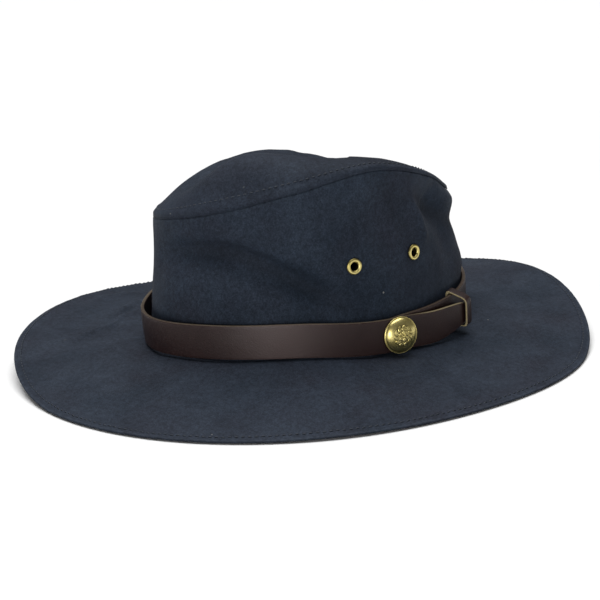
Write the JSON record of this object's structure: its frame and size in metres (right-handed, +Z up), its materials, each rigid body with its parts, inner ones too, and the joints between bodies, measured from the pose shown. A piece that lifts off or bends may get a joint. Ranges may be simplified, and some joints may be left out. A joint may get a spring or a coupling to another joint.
{
  "type": "bush hat",
  "caption": "Wide-brimmed soft cloth bush hat with a creased crown, a leather strap fastened by a domed button, and vent eyelets.",
  "frame": {"origin": "middle of the brim's outline, on the surface that the brim rests on", "axes": "+Z up through the crown, the front of the hat towards -Y, the wearer's right towards -X"},
  "size_m": [0.332, 0.365, 0.1336],
  "materials": {
    "cloth": "navy waxed cotton, matt with a soft waxy sheen",
    "leather": "dark chocolate brown leather, satin, with pale cut edges",
    "brass": "polished brass, lightly worn"
  },
  "bodies": {
    "root": {"brim": "cloth", "crown_side": "cloth", "crown_tip": "cloth", "hat_strap": "leather", "strap_keeper": "leather", "button": "brass", "eyelet_right_back": "brass", "eyelet_right_front": "brass", "eyelet_left_back": "brass", "eyelet_left_front": "brass"}
  },
  "joints": []
}
